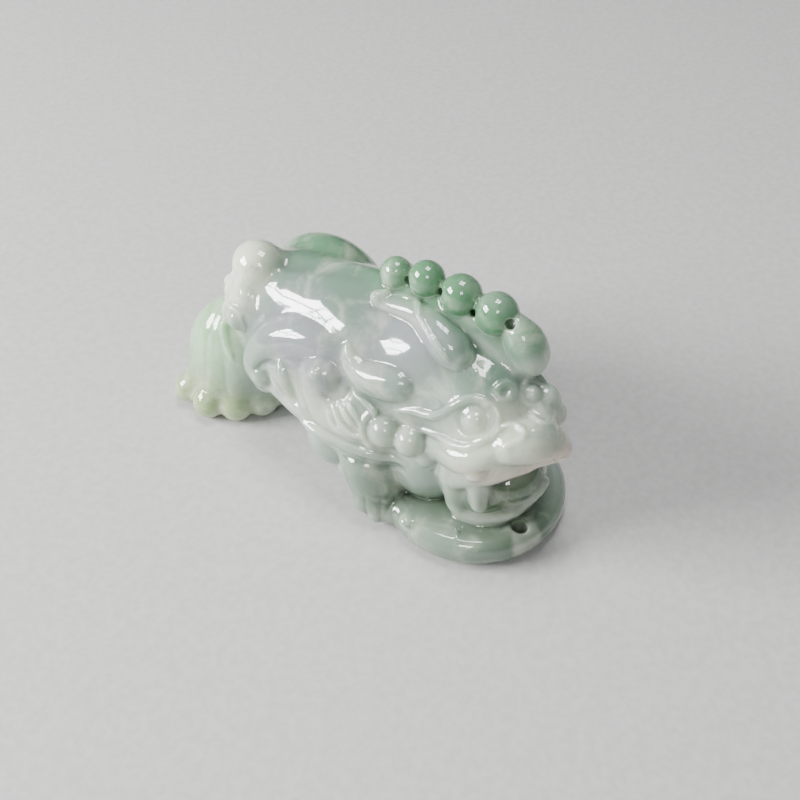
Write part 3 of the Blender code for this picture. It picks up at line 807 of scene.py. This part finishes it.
# Colour clouds in the stone: centre (mm, carving frame), reach (mm), colour and strength.
CLOUDS = (
    ((2.0, 6, 26), (9, 16, 7), BLUE_GREEN, 0.8),
    ((1.0, -8, 25), (8, 8, 6), LAVENDER, 0.7),
    ((8.5, 9, 24), (6, 14, 10), GREEN, 0.8),
    ((4.2, -11, 29.5), (4.5, 16, 5.5), GREEN, 1.0),
    ((6.5, -12, 25), (4, 12, 6), GREEN, 0.8),
    ((2.0, -17, 25), (5, 6, 4), BLUE_GREEN, 0.8),
    ((-3.5, 4, 19), (6, 9, 7), LAVENDER, 0.9),
    ((-7.0, 0, 14), (4, 8, 4), MILK, 0.45),
    ((-6.5, -11, 14), (4, 5, 4), MILK, 0.3),
    ((0.0, 17, 22), (6, 5, 8), MILK, 1.0),
    ((-2.0, 22, 12), (9, 8, 8), MINT, 1.0),
    ((-4.0, 21, 2), (11, 10, 5), HONEY, 0.7),
    ((-2.5, -24, 17), (8, 8, 8), MILK, 0.6),
    ((0.5, -30, 17), (6, 5, 4), BLUSH, 0.75),
    ((-3.0, -26, 14.5), (8, 8, 2.4), BLUSH, 0.55),
    ((-1.5, -25, 7.5), (9, 8, 5.5), MOSS, 1.0),
    ((1.6, -18, 1), (15, 15, 5), MOSS, 1.0),
    ((10.0, -20, 2), (9, 11, 4), LAVENDER, 0.4),
    ((-7.0, -9, 5), (6, 6, 7), MOSS, 0.5),
    ((8.0, 0, 6), (8, 12, 6), MINT, 0.5),
)
# A cloud is full up to the first share of its reach, and gone at the second.
CLOUD_FADE = (0.45, 1.25)
# How far the clouds' edges wander, in metres.
CLOUD_WANDER = 0.009


def jadeite(shift):
    nodes = Nodes("jadeite")
    where = nodes.add("ShaderNodeTexCoord").outputs["Object"]
    drift = nodes.add("ShaderNodeTexNoise", {"Vector": where, "Scale": 70.0, "Detail": 3.0}).outputs["Color"]
    wander = nodes.scaled(nodes.vector("SUBTRACT", drift, (0.5, 0.5, 0.5)), CLOUD_WANDER)
    moved = nodes.vector("ADD", where, wander)
    colour = PALE
    for centre, reach, tint, strength in CLOUDS:
        away = nodes.vector("SUBTRACT", moved, tuple((np.array(centre) + shift) * MM))
        share = nodes.vector("DIVIDE", away, tuple(np.array(reach) * MM))
        length = nodes.vector("LENGTH", share, output="Value")
        colour = nodes.mix(nodes.span(length, *CLOUD_FADE, strength, 0.0), colour, tint)
    # milky clouds and fine grey-green veins
    cloud = nodes.noise(where, 190.0, detail=5.0, roughness=0.6, distortion=0.6)
    colour = nodes.mix(nodes.span(cloud, 0.46, 0.72, 0.0, 0.4), colour, MILK)
    vein = nodes.noise(where, 420.0, detail=4.0, roughness=0.65, distortion=1.2)
    colour = nodes.mix(nodes.span(vein, 0.5, 0.75, 0.0, 0.35), colour, GREY_GREEN)
    # thin edges are painted lighter, a painted glow of light shining through thin stone, and hollows get a
    # little painted shade
    colour = nodes.mix(nodes.span(nodes.attribute("thin"), 0.15, 0.85, 0.0, 0.28), colour, PAINTED_THIN_GLOW)
    shade = nodes.span(nodes.attribute("sunk"), 0.35, 1.0, 0.0, 0.3)
    colour = nodes.mix(shade, colour, HOLLOW_SHADE, "MULTIPLY")
    # rare brown specks
    speck = nodes.add("ShaderNodeTexVoronoi", {"Vector": where, "Scale": 210.0, "Randomness": 1.0})
    dot = nodes.span(speck.outputs["Distance"], 0.05, 0.09, 1.0, 0.0)
    rare = nodes.span(nodes.noise(where, 120.0, detail=1.0), 0.62, 0.66)
    strength = nodes.maths("MULTIPLY", nodes.maths("MULTIPLY", dot, rare), 0.7)
    nodes.link(nodes.mix(strength, colour, BROWN_SPECK), "Base Color")
    # the polish varies a little, over a faint ripple
    polish = nodes.noise(where, 900.0, detail=2.0)
    nodes.link(nodes.span(polish, 0.3, 0.7, 0.045, 0.09), "Roughness")
    ripple = nodes.noise(where, 160.0, detail=2.0)
    bump = nodes.add("ShaderNodeBump", {"Height": ripple, "Strength": 0.12, "Distance": 0.0006})
    nodes.link(bump.outputs["Normal"], "Normal")
    nodes.put(IOR=1.66, Subsurface_Weight=1.0, Subsurface_Scale=0.003, Subsurface_Radius=(1.0, 1.1, 0.95),
              Coat_Weight=0.4, Coat_Roughness=0.03)
    return nodes.material


def floor_material():
    nodes = Nodes("studio_floor")
    where = nodes.add("ShaderNodeTexCoord").outputs["Object"]
    grain = nodes.noise(where, 900.0, detail=4.0)
    nodes.link(nodes.mix(nodes.span(grain, 0.3, 0.7), *FLOOR_GREYS), "Base Color")
    nodes.put(Roughness=0.6)
    return nodes.material


def add_floor():
    mesh = bpy.data.meshes.new("studio_floor")
    corners = [(x * FLOOR_REACH, y * FLOOR_REACH, FLOOR_LEVEL)
               for x, y in ((-1, -1), (1, -1), (1, 1), (-1, 1))]
    mesh.from_pydata(corners, [], [(0, 1, 2, 3)])
    floor = bpy.data.objects.new("studio_floor", mesh)
    bpy.context.collection.objects.link(floor)
    mesh.materials.append(floor_material())


def aimed(obj, place, target):
    """Put a camera or lamp at a place, looking at a target."""
    obj.location = Vector(place)
    obj.rotation_euler = (Vector(target) - Vector(place)).to_track_quat("-Z", "Y").to_euler()
    return obj


def add_lamp(name, place, target, size, power):
    lamp = bpy.data.lights.new(name, "AREA")
    lamp.shape = "RECTANGLE"
    lamp.size = size
    lamp.size_y = size
    lamp.energy = power
    obj = bpy.data.objects.new(name, lamp)
    bpy.context.collection.objects.link(obj)
    return aimed(obj, place, target)


def add_camera():
    camera = bpy.data.objects.new("camera", bpy.data.cameras.new("camera"))
    bpy.context.collection.objects.link(camera)
    camera.data.lens = 50
    camera.data.sensor_width = 36
    camera.data.clip_start = 0.01
    a, e = math.radians(AZIMUTH), math.radians(ELEVATION)
    away = np.array((math.sin(a) * math.cos(e), -math.cos(a) * math.cos(e), math.sin(e)))
    aimed(camera, LOOK_AT + away * DISTANCE * MM, LOOK_AT)
    bpy.context.scene.camera = camera


def add_window(name, toward, columns, rows, step, power):
    """A window of square panes, far out in one direction from the carving."""
    way = unit(toward)
    is_overhead = abs(way[2]) > 0.95
    across = np.array((1.0, 0, 0)) if is_overhead else unit(np.cross(way, (0, 0, 1)))
    up = np.cross(across, way)
    for row in range(rows):
        for column in range(columns):
            offset = across * step * (column - (columns - 1) / 2) + up * step * (row - (rows - 1) / 2)
            place = LIT_MIDDLE + way * WINDOW_DISTANCE + offset
            add_lamp(f"{name}_{row}_{column}", place, LIT_MIDDLE, step * PANE_SHARE, power)


def add_lights():
    world = bpy.data.worlds.new("studio")
    bpy.context.scene.world = world
    world.use_nodes = True
    background = world.node_tree.nodes["Background"]
    background.inputs["Color"].default_value = (0.82, 0.86, 0.9, 1)
    background.inputs["Strength"].default_value = 0.2
    for window in WINDOWS:
        add_window(*window)


def carving_shift():
    """From the carving's own frame to the shared one, in millimetres: the two share the ground."""
    low, high = (np.array(corner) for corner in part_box("pixiu_carving"))
    x, y = (low + high)[:2] / 2 / MM - CAD_MIDDLE
    return np.array((x, y, 0.0))


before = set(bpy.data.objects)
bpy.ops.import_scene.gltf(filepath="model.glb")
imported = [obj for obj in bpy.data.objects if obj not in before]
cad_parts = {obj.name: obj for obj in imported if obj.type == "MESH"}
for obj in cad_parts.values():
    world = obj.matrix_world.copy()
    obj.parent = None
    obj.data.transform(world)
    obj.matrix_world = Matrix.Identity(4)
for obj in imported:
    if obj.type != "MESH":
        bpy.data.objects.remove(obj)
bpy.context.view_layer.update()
shift = carving_shift()
stone = carve_pixiu(CELL)
carving = stone_object(stone, "carved_jade_pixiu", shift)
record_relief(carving, stone, shift)
carving.data.materials.append(jadeite(shift))
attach(carving, "root")
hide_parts("pixiu_carving")
add_floor()
add_lights()
add_camera()
